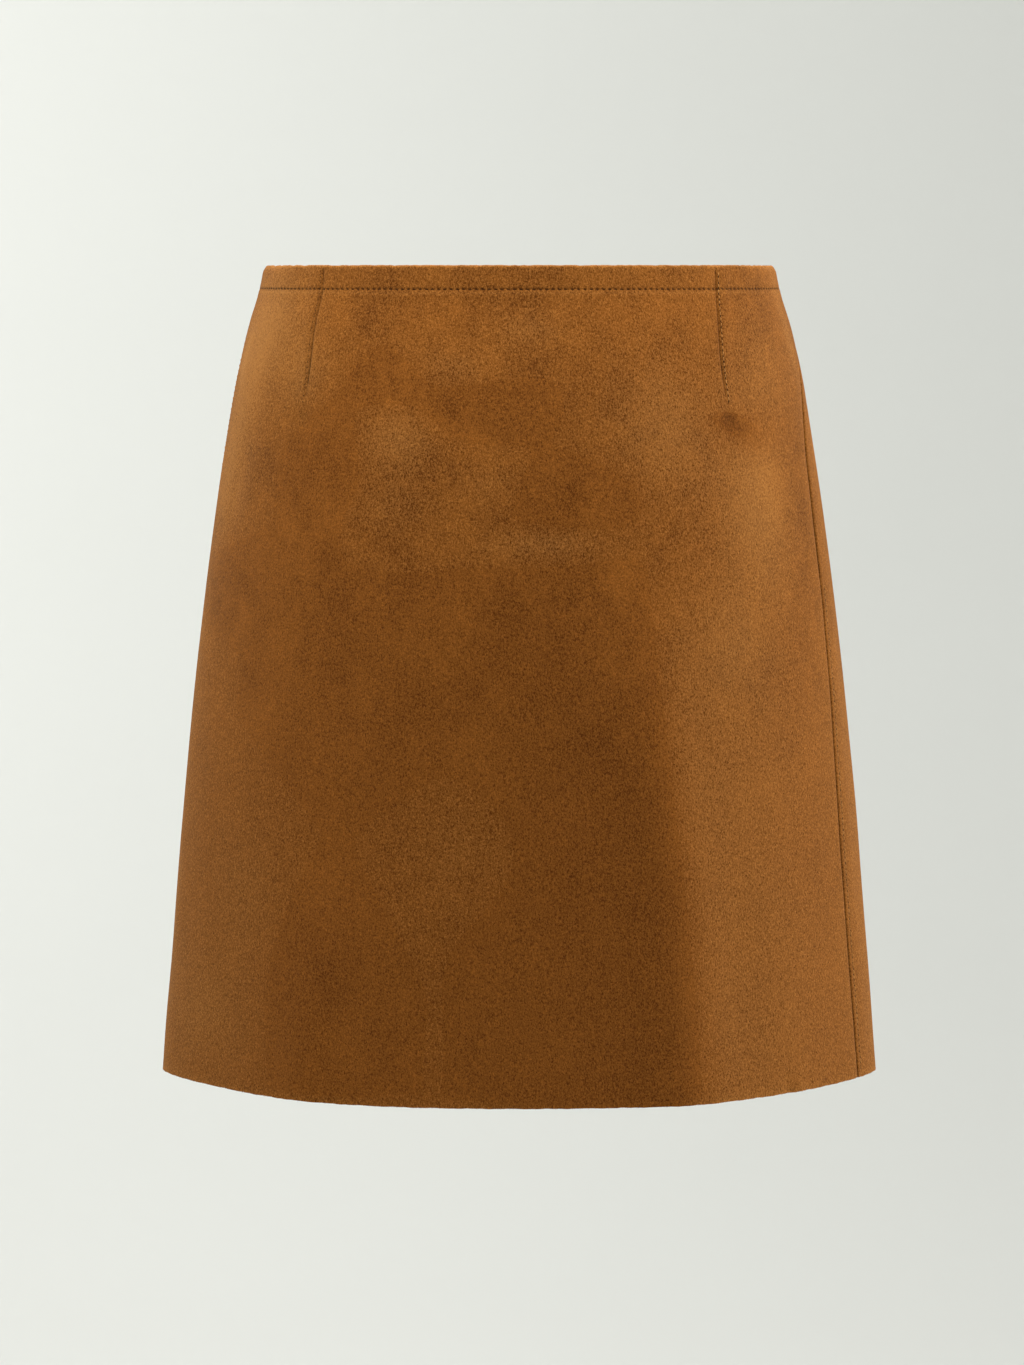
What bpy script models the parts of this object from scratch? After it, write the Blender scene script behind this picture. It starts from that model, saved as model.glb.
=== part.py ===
"""A-line suede mini skirt in its worn shape: a hollow tube, open at the waist and at the hem.

Metres, +Z up. The front faces -Y and the wearer's left is at +X. The origin is the middle of
the waist opening, level with its top edge. A place on the cloth is given by its drop (how far
it lies below the waist edge) and its angle round the skirt: 0 is the centre front, 90 the side
at +X and 180 the centre back. An offset is measured along the cloth's normal, from its outer face.
"""

import functools
import math

import bmesh
import bpy
import numpy as np
from mathutils import Matrix, Vector

# Driving sizes
LENGTH = 0.4335  # waist edge to hem
SUEDE = 0.0012  # thickness of one layer
GAP = 0.0003  # between two pieces that are sewn or that lie on each other
TURNING_DEPTH = 0.017  # how far the waist edge is turned in
ALLOWANCE_WIDTH = 0.012  # seam allowance, pressed flat inside
DART_LENGTH_FRONT = 0.076
DART_LENGTH_BACK = 0.115
DART_AT_TOP = 0.0085  # width of the folded cloth of a dart, below the waist turning
DART_AT_TIP = 0.0012
ZIP_LENGTH = 0.165  # waist edge to the bottom of the closed zip
SEAM_GROOVE = 0.0005  # how far the cloth dips into a dart's seam
GROOVE_REACH = 0.002  # how far from the seam that dip starts

# The skirt's horizontal sections. Depths are from the plane of the side seams to the front or back.
# "flat" flattens the middle of the front or back, and "round" is how full the section is at the
# sides: 1 is an ellipse, and less is nearer to a lens.
SECTION_COLUMNS = ("drop", "half_width", "front_depth", "front_flat", "front_round",
                   "back_depth", "back_flat", "back_round")
SECTIONS = np.array((
    (0.0000, 0.1362, 0.1100, 0.00, 0.92, 0.0880, 0.03, 1.00),
    (0.0130, 0.1388, 0.1118, 0.00, 0.92, 0.0902, 0.03, 1.00),
    (0.0300, 0.1441, 0.1150, 0.01, 0.90, 0.0950, 0.02, 1.00),
    (0.0550, 0.1501, 0.1195, 0.02, 0.87, 0.1035, 0.01, 0.98),
    (0.0950, 0.1573, 0.1250, 0.05, 0.82, 0.1155, 0.00, 0.94),
    (0.1500, 0.1654, 0.1300, 0.08, 0.76, 0.1275, 0.00, 0.88),
    (0.2200, 0.1741, 0.1330, 0.11, 0.70, 0.1350, 0.02, 0.82),
    (0.3200, 0.1837, 0.1350, 0.13, 0.65, 0.1385, 0.05, 0.77),
    (0.4335, 0.1929, 0.1365, 0.15, 0.61, 0.1400, 0.08, 0.74),
))

# Lines of the cut on the skirt, as angles in degrees at their drops.
LINES = {
    "right_seam": ((0.000, 104.0), (0.014, 102.0), (0.030, 96.0), (0.050, 85.8), (0.068, 79.8),
                   (0.093, 75.2), (0.125, 73.5), (0.180, 72.3), (0.300, 69.7), (0.434, 70.0)),
    "left_seam": ((0.000, -95.0), (0.035, -90.5), (0.072, -88.5), (0.110, -90.0),
                  (0.180, -92.0), (0.300, -93.0), (0.434, -93.0)),
    "front_dart_right": ((0.000, 48.6), (0.014, 47.4), (0.030, 45.9), (0.045, 44.9), (0.076, 44.5)),
    "front_dart_left": ((0.000, -48.7), (0.014, -47.8), (0.030, -47.7), (0.050, -47.1),
                        (0.076, -46.7)),
    "back_dart_right": ((0.000, 145.0), (0.050, 144.0), (0.115, 143.0)),
    "back_dart_left": ((0.000, 215.0), (0.050, 216.0), (0.115, 217.0)),
}

# Large soft folds that run down the cloth. Height is outwards, and negative makes a trough.
FOLD_COLUMNS = ("top_angle", "hem_angle", "starts", "full", "height", "half_width")
FOLDS = np.array((
    (20.0, 26.5, 0.130, 0.300, 0.0028, 9.0),
    (-31.0, -36.0, 0.260, 0.430, 0.0020, 10.0),
    (154.0, 150.0, 0.170, 0.400, 0.0040, 11.0),
    (208.0, 214.0, 0.190, 0.400, 0.0034, 12.0),
    (178.0, 181.0, 0.200, 0.400, -0.0026, 12.0),
))

# The zip, in the right-hand seam
TAPE_WIDTH = 0.012
TAPE = 0.0006
TAPE_TO_SEAM = 0.0010
TAPE_TOP = 0.0022  # drop of the tapes' upper ends, folded in under the roll
TAPE_TAIL = 0.004  # how far the tapes go on below the closed zip
SEAM_STARTS = 0.006  # how far below the closed zip both allowances turn to the back
STOP_LENGTH = 0.003
COIL_HALF_WIDTH = 0.0020
COIL = 0.0015
SLIDER_DROP = 0.0105  # middle of the slider at the closed end
SLIDER_HALF_LENGTH = 0.004
PARTED = 0.00075  # how far each edge is held back from the seam line by the slider
PARTED_UNTIL = (0.018, 0.030)  # the drops between which the parted edges come together
PULL_LENGTH = 0.022
PULL_HALF_WIDTH = 0.0022
PULL = 0.0007
PIN_RADIUS = 0.0003
PIN_OFFSET = 0.0019  # from the cloth to the middle of the pin
KNUCKLE_RADIUS = 0.0008
KNUCKLE_BORE = 0.0005
KNUCKLE_HALF_WIDTH = 0.0013
CLEAR_OF_ZIP = ALLOWANCE_WIDTH + 2 * GAP + PARTED  # from the seam to where the waist is turned in

# Depths of the layers inside the skirt, as (outer, inner) offsets
PANEL = (0.0, -SUEDE)
LAYER_TWO = (PANEL[1] - GAP, PANEL[1] - GAP - SUEDE)
LAYER_THREE = (LAYER_TWO[1] - GAP, LAYER_TWO[1] - GAP - SUEDE)
TAPE_LAYER = (LAYER_TWO[1] - GAP, LAYER_TWO[1] - GAP - TAPE)
COIL_LAYER = (TAPE_LAYER[1] - GAP, TAPE_LAYER[1] - GAP - COIL)

# The slider's boxes: from and to across the seam, half the length, and from and to outwards
SLIDER_FACE = TAPE_LAYER[1] - 2 * GAP
SLIDER_BOXES = {
    "body": (-0.0030, 0.0030, SLIDER_HALF_LENGTH, SLIDER_FACE - 0.0022, SLIDER_FACE),
    "stem": (-0.0005, 0.0005, 0.0025, SLIDER_FACE - 0.0005, 0.0007),
    "crown": (-0.0021, 0.0021, 0.0032, 0.0004, 0.0009),
    "front_ear": (0.0015, 0.0021, 0.0007, 0.0007, 0.0024),
    "back_ear": (-0.0021, -0.0015, 0.0007, 0.0007, 0.0024),
}

# The rolled top edge, as (drop, outer offset, inner offset): it covers two layers
ROLL = (
    (0.0000, -0.0010, -0.0017),
    (0.0003, -0.0004, -0.0023),
    (0.0009, 0.0000, -0.0027),
    (0.0014, 0.0000, -0.0027),
    (0.0015, 0.0000, -SUEDE),
)

SUEDE_COLOUR = (0.250, 0.098, 0.022, 1.0)
SUEDE_INSIDE = (0.290, 0.130, 0.040, 1.0)
TAPE_COLOUR = (0.120, 0.050, 0.016, 1.0)
METAL_COLOUR = (0.160, 0.085, 0.035, 1.0)


# ---------------------------------------------------------------- the skirt's surface


def smooth(table, drop, column):
    """The value of a table's column at a drop, on a smooth curve through the table's rows."""
    drops, values = table[:, 0], table[:, column]
    slopes = np.gradient(values, drops)
    i = int(np.clip(np.searchsorted(drops, drop) - 1, 0, len(drops) - 2))
    step = drops[i + 1] - drops[i]
    t = min(max((drop - drops[i]) / step, 0.0), 1.0)
    start = (1 + 2 * t) * (1 - t) ** 2 * values[i] + t * (1 - t) ** 2 * step * slopes[i]
    end = t * t * (3 - 2 * t) * values[i + 1] + t * t * (t - 1) * step * slopes[i + 1]
    return float(start + end)


def ramp(value, low, high):
    """0 below low, 1 above high, and a smooth step between."""
    t = min(max((value - low) / (high - low), 0.0), 1.0)
    return t * t * (3 - 2 * t)


def line_angle(name, drop):
    """The angle of a seam or dart line at a drop."""
    return smooth(np.array(LINES[name]), drop, 1)


@functools.cache
def section_at(drop):
    """The sizes of the horizontal section at a drop, by the names of their columns."""
    return {name: smooth(SECTIONS, drop, k) for k, name in enumerate(SECTION_COLUMNS)}


def section_point(angle, drop):
    """The cut's own point, before the folds."""
    section = section_at(drop)
    turn = math.radians(angle)
    side = "front" if math.cos(turn) >= 0 else "back"
    flat, full = section[side + "_flat"], section[side + "_round"]
    s2 = math.sin(turn) ** 2
    fullness = 1 + flat * s2 + (full - 1 - flat) * s2 * s2
    across = section["half_width"] * math.sin(turn)
    return Vector((across, -section[side + "_depth"] * math.cos(turn) * fullness, -drop))


def fold_height(angle, drop):
    """How far the large folds move the cloth outwards."""
    total = 0.0
    for row in FOLDS:
        fold = dict(zip(FOLD_COLUMNS, row))
        middle = fold["top_angle"] + (fold["hem_angle"] - fold["top_angle"]) * drop / LENGTH
        away = (angle - middle + 180) % 360 - 180
        grown = fold["height"] * ramp(drop, fold["starts"], fold["full"])
        total += grown * math.exp(-((away / fold["half_width"]) ** 2))
    return total


def directions(angle, drop):
    """Unit vectors round the skirt, down it and out of it."""
    step_angle, step_drop = 0.2, 0.0005
    round_it = section_point(angle + step_angle, drop) - section_point(angle - step_angle, drop)
    low = max(drop - step_drop, 0.0)
    high = min(drop + step_drop, LENGTH)
    down = section_point(angle, high) - section_point(angle, low)
    out = down.cross(round_it).normalized()
    return round_it.normalized(), down.normalized(), out


@functools.cache
def surface(angle, drop, offset=0.0):
    """The point of the cloth at this angle and drop, moved out by offset."""
    out = directions(angle, drop)[2]
    return section_point(angle, drop) + out * (offset + fold_height(angle, drop))


def angle_for(distance, angle, drop):
    """The angle that lies this far round the cloth from an angle."""
    step = 0.2
    per_degree = (section_point(angle + step, drop) - section_point(angle - step, drop)).length
    return angle + distance * 2 * step / per_degree


def beside(name, distance):
    """A line that runs beside a seam or dart, this far from it towards growing angles."""
    return lambda drop: angle_for(distance, line_angle(name, drop), drop)


def seam_edge(name, side):
    """The edge of the cloth at a seam: side is 1 for the piece at larger angles, or -1."""

    def edge(drop):
        half_gap = GAP / 2
        if name == "right_seam":
            half_gap += PARTED * (1 - ramp(drop, *PARTED_UNTIL))
        return angle_for(side * half_gap, line_angle(name, drop), drop)

    return edge


def past(line):
    """The same line one turn further round."""
    return lambda drop: line(drop) + 360


def panel_rows():
    """A panel's rows: its rolled top edge, then closer rows over the hip and wider ones below."""
    near_waist = [(drop, *PANEL) for drop in (0.007, 0.013, 0.021, 0.030, 0.042)]
    return [*ROLL, *near_waist, *[(float(drop), *PANEL) for drop in np.linspace(0.057, LENGTH, 15)]]


def panel_lines():
    """Each panel's lines from side edge to side edge, and the columns between two of them."""
    dart_edges = (-GROOVE_REACH, 0.0, GROOVE_REACH)
    front = [seam_edge("left_seam", 1),
             *[beside("front_dart_left", reach) for reach in dart_edges],
             *[beside("front_dart_right", reach) for reach in dart_edges],
             beside("right_seam", -CLEAR_OF_ZIP), seam_edge("right_seam", -1)]
    back = [seam_edge("right_seam", 1), beside("right_seam", CLEAR_OF_ZIP),
            *[beside("back_dart_right", reach) for reach in dart_edges],
            *[beside("back_dart_left", reach) for reach in dart_edges],
            past(seam_edge("left_seam", -1))]
    return {"front": (front, (5, 1, 1, 16, 1, 1, 4, 1)), "back": (back, (1, 6, 1, 1, 12, 1, 1, 7))}


def column_angles(lines, spans, drop):
    """The angles of all the columns at a drop."""
    angles = []
    for number, columns in enumerate(spans):
        start, end = lines[number](drop), lines[number + 1](drop)
        angles += [start + (end - start) * k / columns for k in range(columns)]
    return [*angles, lines[-1](drop)]


@functools.cache
def panel_angles(side):
    """The angles of a panel's columns, for each of its rows."""
    lines, spans = panel_lines()[side]
    return [np.array(column_angles(lines, spans, row[0])) for row in panel_rows()]


def on_panel(angle, drop, offset):
    """The point at this angle and drop on the panels' own facets, moved out by offset."""
    left, right = line_angle("left_seam", drop), line_angle("right_seam", drop)
    if angle < left:
        angle += 360
    angles = panel_angles("front" if angle <= right else "back")
    drops = [row[0] for row in panel_rows()]
    row = int(np.clip(np.searchsorted(drops, drop) - 1, 0, len(drops) - 2))
    down = (drop - drops[row]) / (drops[row + 1] - drops[row])
    above, below = angles[row], angles[row + 1]
    here = above + (below - above) * down
    column = int(np.clip(np.searchsorted(here, angle) - 1, 0, len(here) - 2))
    across = (angle - here[column]) / (here[column + 1] - here[column])
    upper = surface(above[column], drops[row], offset).lerp(
        surface(above[column + 1], drops[row], offset), across)
    lower = surface(below[column], drops[row + 1], offset).lerp(
        surface(below[column + 1], drops[row + 1], offset), across)
    return upper.lerp(lower, down)


# ---------------------------------------------------------------- making the pieces


def material(name, colour, roughness, metallic=0.0):
    made = bpy.data.materials.new(name)
    made.use_nodes = True
    shader = made.node_tree.nodes["Principled BSDF"]
    shader.inputs["Base Color"].default_value = colour
    shader.inputs["Roughness"].default_value = roughness
    shader.inputs["Metallic"].default_value = metallic
    made.diffuse_color = colour
    return made


def add_object(name, mesh, made_of, sharp_degrees=40):
    mesh.materials.append(made_of)
    mesh.shade_smooth()
    mesh.set_sharp_from_angle(angle=math.radians(sharp_degrees))
    piece = bpy.data.objects.new(name, mesh)
    bpy.context.scene.collection.objects.link(piece)
    return piece


def wall(name, made_of, outer, inner):
    """A closed wall between two grids of points, given as rows from the top to the bottom."""
    grid = bmesh.new()
    outer = [[grid.verts.new(point) for point in row] for row in outer]
    inner = [[grid.verts.new(point) for point in row] for row in inner]
    last_row, last_column = len(outer) - 1, len(outer[0]) - 1
    for r in range(last_row):
        for c in range(last_column):
            grid.faces.new((outer[r][c], outer[r + 1][c], outer[r + 1][c + 1], outer[r][c + 1]))
            grid.faces.new((inner[r][c], inner[r + 1][c], inner[r + 1][c + 1], inner[r][c + 1]))
        for c in (0, last_column):
            grid.faces.new((outer[r][c], inner[r][c], inner[r + 1][c], outer[r + 1][c]))
    for c in range(last_column):
        for r in (0, last_row):
            grid.faces.new((outer[r][c], outer[r][c + 1], inner[r][c + 1], inner[r][c]))
    bmesh.ops.recalc_face_normals(grid, faces=grid.faces)
    mesh = bpy.data.meshes.new(name)
    grid.to_mesh(mesh)
    grid.free()
    return add_object(name, mesh, made_of)


def layer(name, made_of, top, bottom, lines, offsets, spans=(2,)):
    """A layer inside the skirt between two drops and the lines. It keeps to the panels' facets."""
    clear = 0.001
    between = [row[0] for row in panel_rows() if top + clear < row[0] < bottom - clear]
    faces = [[[on_panel(angle, drop, offset) for angle in column_angles(lines, spans, drop)]
              for drop in (top, *between, bottom)] for offset in offsets]
    return wall(name, made_of, *faces)


def box(low, high):
    made = bmesh.new()
    size = Vector(high) - Vector(low)
    middle = (Vector(high) + Vector(low)) / 2
    place = Matrix.Translation(middle) @ Matrix.Diagonal((*size, 1.0))
    bmesh.ops.create_cube(made, size=1.0, matrix=place)
    return made


def rod(radius, half_width, bore=None, sides=16):
    """A round rod along the local X, or a tube if it has a bore."""
    made = bmesh.new()
    turns = [2 * math.pi * k / sides for k in range(sides)]
    rings = [[[made.verts.new((x, r * math.cos(turn), r * math.sin(turn))) for turn in turns]
              for x in (-half_width, half_width)] for r in (radius, bore) if r]
    for near, far in rings:
        for k in range(sides):
            n = (k + 1) % sides
            made.faces.new((near[k], near[n], far[n], far[k]))
    for end in (0, 1):
        if bore is None:
            made.faces.new(rings[0][end])
            continue
        outer, inner = rings[0][end], rings[1][end]
        for k in range(sides):
            n = (k + 1) % sides
            made.faces.new((outer[k], outer[n], inner[n], inner[k]))
    bmesh.ops.recalc_face_normals(made, faces=made.faces)
    return made


def joined(name, made_of, frame, parts):
    """One hard piece: the union of boxes, given by two corners, and of other bmesh solids."""
    solids = []
    for shape in parts:
        if isinstance(shape, tuple):
            shape = box(*shape)
        mesh = bpy.data.meshes.new(name)
        shape.to_mesh(mesh)
        shape.free()
        solids.append(bpy.data.objects.new(name, mesh))
        bpy.context.scene.collection.objects.link(solids[-1])
    piece = solids[0]
    for other in solids[1:]:
        join = piece.modifiers.new("join", "BOOLEAN")
        join.operation = "UNION"
        join.object = other
    bpy.context.view_layer.update()
    evaluated = piece.evaluated_get(bpy.context.evaluated_depsgraph_get())
    union = bpy.data.meshes.new_from_object(evaluated)
    for solid in solids:
        bpy.data.objects.remove(solid)
    union.transform(frame)
    return add_object(name, union, made_of, 30)


# ---------------------------------------------------------------- the pieces


def build_panels(suede):
    """The two panels that are cut, from side seam to side seam, with a groove at each dart."""
    for side, dart_length, groove_lines in (("front", DART_LENGTH_FRONT, (2, 5)),
                                            ("back", DART_LENGTH_BACK, (3, 6))):
        lines, spans = panel_lines()[side]
        grooved = [sum(spans[:number]) for number in groove_lines]
        outer, inner = [], []
        for drop, out_offset, in_offset in panel_rows():
            groove = SEAM_GROOVE * (1 - ramp(drop, 0.7 * dart_length, dart_length))
            angles = column_angles(lines, spans, drop)
            outer.append([surface(angle, drop, out_offset - (groove if number in grooved else 0))
                          for number, angle in enumerate(angles)])
            inner.append([surface(angle, drop, in_offset) for angle in angles])
        wall(f"{side}_panel", suede, outer, inner)


def build_waist_turnings(inside):
    """The turned-in edges, which the row of stitches 13 mm down holds. They stop short of the zip."""
    for side, kept in (("front", slice(0, -1)), ("back", slice(1, None))):
        lines, spans = panel_lines()[side]
        layer(f"{side}_waist_turning", inside, ROLL[-1][0] + GAP, TURNING_DEPTH,
              lines[kept], LAYER_TWO, spans[kept])


def build_darts(inside):
    """The folded cloth of each dart, pressed towards the nearer side seam."""
    top = TURNING_DEPTH + GAP
    for name, length, side in (("front_dart_right", DART_LENGTH_FRONT, 1),
                               ("front_dart_left", DART_LENGTH_FRONT, -1),
                               ("back_dart_right", DART_LENGTH_BACK, -1),
                               ("back_dart_left", DART_LENGTH_BACK, 1)):

        def folded_edge(drop, name=name, length=length, side=side):
            share = (length - drop) / (length - top)
            depth = DART_AT_TIP + (DART_AT_TOP - DART_AT_TIP) * share
            return angle_for(side * depth, line_angle(name, drop), drop)

        lines = [beside(name, 0.0), folded_edge][::side]
        layer(name, inside, top, length, lines, LAYER_TWO)


def build_seam_allowances(inside):
    """The turned edges of the side seams: both towards the back, and apart along the zip."""
    for seam, side, top in (("left_seam", -1, TURNING_DEPTH + GAP),
                            ("right_seam", 1, ZIP_LENGTH + SEAM_STARTS)):
        for panel, offsets, width in (("back", LAYER_TWO, ALLOWANCE_WIDTH),
                                      ("front", LAYER_THREE, ALLOWANCE_WIDTH - 0.001)):
            lines = [beside(seam, side * GAP), beside(seam, side * width)][::side]
            if seam == "left_seam":
                lines = [past(line) for line in lines]
            layer(f"{seam}_allowance_{panel}", inside, top, LENGTH - GAP, lines, offsets)
    for panel, side in (("front", -1), ("back", 1)):
        near = beside("right_seam", side * (GAP / 2 + PARTED))
        lines = [near, beside("right_seam", side * ALLOWANCE_WIDTH)][::side]
        layer(f"zip_allowance_{panel}", inside, ROLL[-1][0] + GAP, ZIP_LENGTH + SEAM_STARTS - GAP,
              lines, LAYER_TWO)


def slider_frame():
    """Where the slider sits: local X runs across the seam, Y down it and Z out of the cloth."""
    half = SLIDER_HALF_LENGTH
    upper, lower = [surface(line_angle("right_seam", drop), drop)
                    for drop in (SLIDER_DROP - half, SLIDER_DROP + half)]
    down = (lower - upper).normalized()
    out = directions(line_angle("right_seam", SLIDER_DROP), SLIDER_DROP)[2]
    across = down.cross(out).normalized()
    axes = Matrix((across, down, across.cross(down))).transposed().to_4x4()
    return Matrix.Translation((upper + lower) / 2) @ axes


def build_zip(tape_cloth, metal):
    """The concealed zip, closed: tapes and coil inside, and the slider's stem through the seam."""
    for panel, side in (("front", -1), ("back", 1)):
        lines = [beside("right_seam", side * TAPE_TO_SEAM), beside("right_seam", side * TAPE_WIDTH)]
        layer(f"zip_tape_{panel}", tape_cloth, TAPE_TOP, ZIP_LENGTH + TAPE_TAIL,
              lines[::side], TAPE_LAYER)
    coil = [beside("right_seam", -COIL_HALF_WIDTH), beside("right_seam", COIL_HALF_WIDTH)]
    coil_top = SLIDER_DROP + SLIDER_HALF_LENGTH + GAP
    coil_end = ZIP_LENGTH - STOP_LENGTH - GAP
    layer("zip_coil", tape_cloth, coil_top, coil_end, coil, COIL_LAYER, (1,))
    layer("zip_bottom_stop", metal, coil_end + GAP, ZIP_LENGTH, coil, COIL_LAYER, (1,))

    frame = slider_frame()
    boxes = [((near, -half_length, inner), (far, half_length, outer))
             for near, far, half_length, inner, outer in SLIDER_BOXES.values()]
    pin = rod(PIN_RADIUS, (SLIDER_BOXES["front_ear"][0] + SLIDER_BOXES["front_ear"][1]) / 2)
    pin.transform(Matrix.Translation((0, 0, PIN_OFFSET)))
    joined("zip_slider", metal, frame, [*boxes, pin])
    build_pull(metal, frame)


def build_pull(metal, frame):
    """The pull, a thin drop-shaped plate on a knuckle that turns on the slider's pin."""
    plate = bmesh.new()
    centre = PULL_LENGTH - PULL_HALF_WIDTH
    turns = [math.radians(degrees) for degrees in range(90, -91, -15)]
    round_end = [(PULL_HALF_WIDTH * math.sin(turn), centre + PULL_HALF_WIDTH * math.cos(turn))
                 for turn in turns]
    neck, start = 0.8 * KNUCKLE_HALF_WIDTH, 0.8 * KNUCKLE_RADIUS
    outline = [(neck, start), *round_end, (-neck, start)]
    faces = [[plate.verts.new((x, y, z)) for x, y in outline] for z in (-PULL / 2, PULL / 2)]
    for near in range(len(outline)):
        far = (near + 1) % len(outline)
        plate.faces.new((faces[0][near], faces[0][far], faces[1][far], faces[1][near]))
    plate.faces.new(faces[0])
    plate.faces.new(faces[1])
    bmesh.ops.recalc_face_normals(plate, faces=plate.faces)
    knuckle = rod(KNUCKLE_RADIUS, KNUCKLE_HALF_WIDTH, KNUCKLE_BORE)
    pivot = frame @ Matrix.Translation((0, 0, PIN_OFFSET))
    pull = joined("zip_pull", metal, Matrix.Identity(4), [knuckle, plate])
    pull.matrix_world = pivot


def main():
    for leftover in list(bpy.data.objects):
        bpy.data.objects.remove(leftover)
    suede = material("suede", SUEDE_COLOUR, 0.95)
    inside = material("suede_inside", SUEDE_INSIDE, 0.95)
    tape_cloth = material("zip_tape", TAPE_COLOUR, 0.8)
    metal = material("zip_metal", METAL_COLOUR, 0.4, 0.6)
    build_panels(suede)
    build_waist_turnings(inside)
    build_darts(inside)
    build_seam_allowances(inside)
    build_zip(tape_cloth, metal)


main()
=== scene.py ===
"""The looks of the a-line suede skirt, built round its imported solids.

Metres, +Z up. The front faces -Y, the wearer's left is at +X, and the origin is the middle of the
waist opening, level with its top edge. A place on the cloth is an angle round the skirt (0 is the
centre front, 90 the side at +X, 180 the centre back) and a drop, how far it lies below the waist
edge. An offset is measured along the cloth's normal, from its outer face.
"""

import math

import bpy
import numpy as np
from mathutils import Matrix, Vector


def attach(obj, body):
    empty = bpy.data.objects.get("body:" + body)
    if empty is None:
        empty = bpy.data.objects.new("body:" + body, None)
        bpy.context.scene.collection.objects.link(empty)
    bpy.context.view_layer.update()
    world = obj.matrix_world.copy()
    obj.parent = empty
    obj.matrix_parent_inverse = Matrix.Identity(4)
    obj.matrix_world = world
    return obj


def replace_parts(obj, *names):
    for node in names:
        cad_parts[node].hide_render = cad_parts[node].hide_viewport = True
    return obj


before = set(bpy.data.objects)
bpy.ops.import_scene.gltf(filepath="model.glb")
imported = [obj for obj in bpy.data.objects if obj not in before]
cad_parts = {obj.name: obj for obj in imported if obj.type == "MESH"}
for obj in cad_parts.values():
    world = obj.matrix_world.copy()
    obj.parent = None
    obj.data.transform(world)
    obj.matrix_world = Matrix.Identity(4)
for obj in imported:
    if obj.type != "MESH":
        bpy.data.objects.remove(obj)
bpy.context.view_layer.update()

# ---------------------------------------------------------------- sizes shared with the solids

LENGTH = 0.4335
SUEDE = 0.0012
GAP = 0.0003
TURNING_DEPTH = 0.017
ALLOWANCE_WIDTH = 0.012
DART_LENGTH_FRONT = 0.076
DART_LENGTH_BACK = 0.115
DART_AT_TOP = 0.0085
DART_AT_TIP = 0.0012
ZIP_LENGTH = 0.165

SECTION_COLUMNS = ("drop", "half_width", "front_depth", "front_flat", "front_round",
                   "back_depth", "back_flat", "back_round")
SECTIONS = np.array((
    (0, 0.1362, 0.11, 0, 0.92, 0.088, 0.03, 1),
    (0.013, 0.1388, 0.1118, 0, 0.92, 0.0902, 0.03, 1),
    (0.03, 0.1441, 0.115, 0.01, 0.9, 0.095, 0.02, 1),
    (0.055, 0.1501, 0.1195, 0.02, 0.87, 0.1035, 0.01, 0.98),
    (0.095, 0.1573, 0.125, 0.05, 0.82, 0.1155, 0, 0.94),
    (0.15, 0.1654, 0.13, 0.08, 0.76, 0.1275, 0, 0.88),
    (0.22, 0.1741, 0.133, 0.11, 0.7, 0.135, 0.02, 0.82),
    (0.32, 0.1837, 0.135, 0.13, 0.65, 0.1385, 0.05, 0.77),
    (0.4335, 0.1929, 0.1365, 0.15, 0.61, 0.14, 0.08, 0.74),
))
LINES = {
    "right_seam": ((0, 104), (0.014, 102), (0.03, 96), (0.05, 85.8), (0.068, 79.8),
                   (0.093, 75.2), (0.125, 73.5), (0.18, 72.3), (0.3, 69.7), (0.434, 70)),
    "left_seam": ((0, -95), (0.035, -90.5), (0.072, -88.5), (0.11, -90),
                  (0.18, -92), (0.3, -93), (0.434, -93)),
    "front_dart_right": ((0, 48.6), (0.014, 47.4), (0.03, 45.9), (0.045, 44.9), (0.076, 44.5)),
    "front_dart_left": ((0, -48.7), (0.014, -47.8), (0.03, -47.7), (0.05, -47.1),
                        (0.076, -46.7)),
    "back_dart_right": ((0, 145), (0.05, 144), (0.115, 143)),
    "back_dart_left": ((0, 215), (0.05, 216), (0.115, 217)),
}
FOLD_COLUMNS = ("top_angle", "hem_angle", "starts", "full", "height", "half_width")
FOLDS = np.array((
    (20, 26.5, 0.13, 0.3, 0.0028, 9),
    (-31, -36, 0.26, 0.43, 0.002, 10),
    (154, 150, 0.17, 0.4, 0.004, 11),
    (208, 214, 0.19, 0.4, 0.0034, 12),
    (178, 181, 0.2, 0.4, -0.0026, 12),
))

# The zip, in the right-hand seam
TAPE_WIDTH = 0.012
TAPE = 0.0006
TAPE_TO_SEAM = 0.0010
TAPE_TOP = 0.0022
TAPE_TAIL = 0.004
SEAM_STARTS = 0.006
ZIP_EDGE_TOP = 0.0018
STOP_LENGTH = 0.003
COIL = 0.0015
SLIDER_DROP = 0.0105
SLIDER_HALF_LENGTH = 0.004
PARTED = 0.00075
PARTED_UNTIL = (0.018, 0.030)
CLEAR_OF_ZIP = ALLOWANCE_WIDTH + 2 * GAP + PARTED

LAYER_TWO = (-SUEDE - GAP, -2 * SUEDE - GAP)
LAYER_THREE = (LAYER_TWO[1] - GAP, LAYER_TWO[1] - GAP - SUEDE)
TAPE_LAYER = (LAYER_TWO[1] - GAP, LAYER_TWO[1] - GAP - TAPE)
COIL_LAYER = (TAPE_LAYER[1] - GAP, TAPE_LAYER[1] - GAP - COIL)

# ---------------------------------------------------------------- sizes of the finer detail

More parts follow.
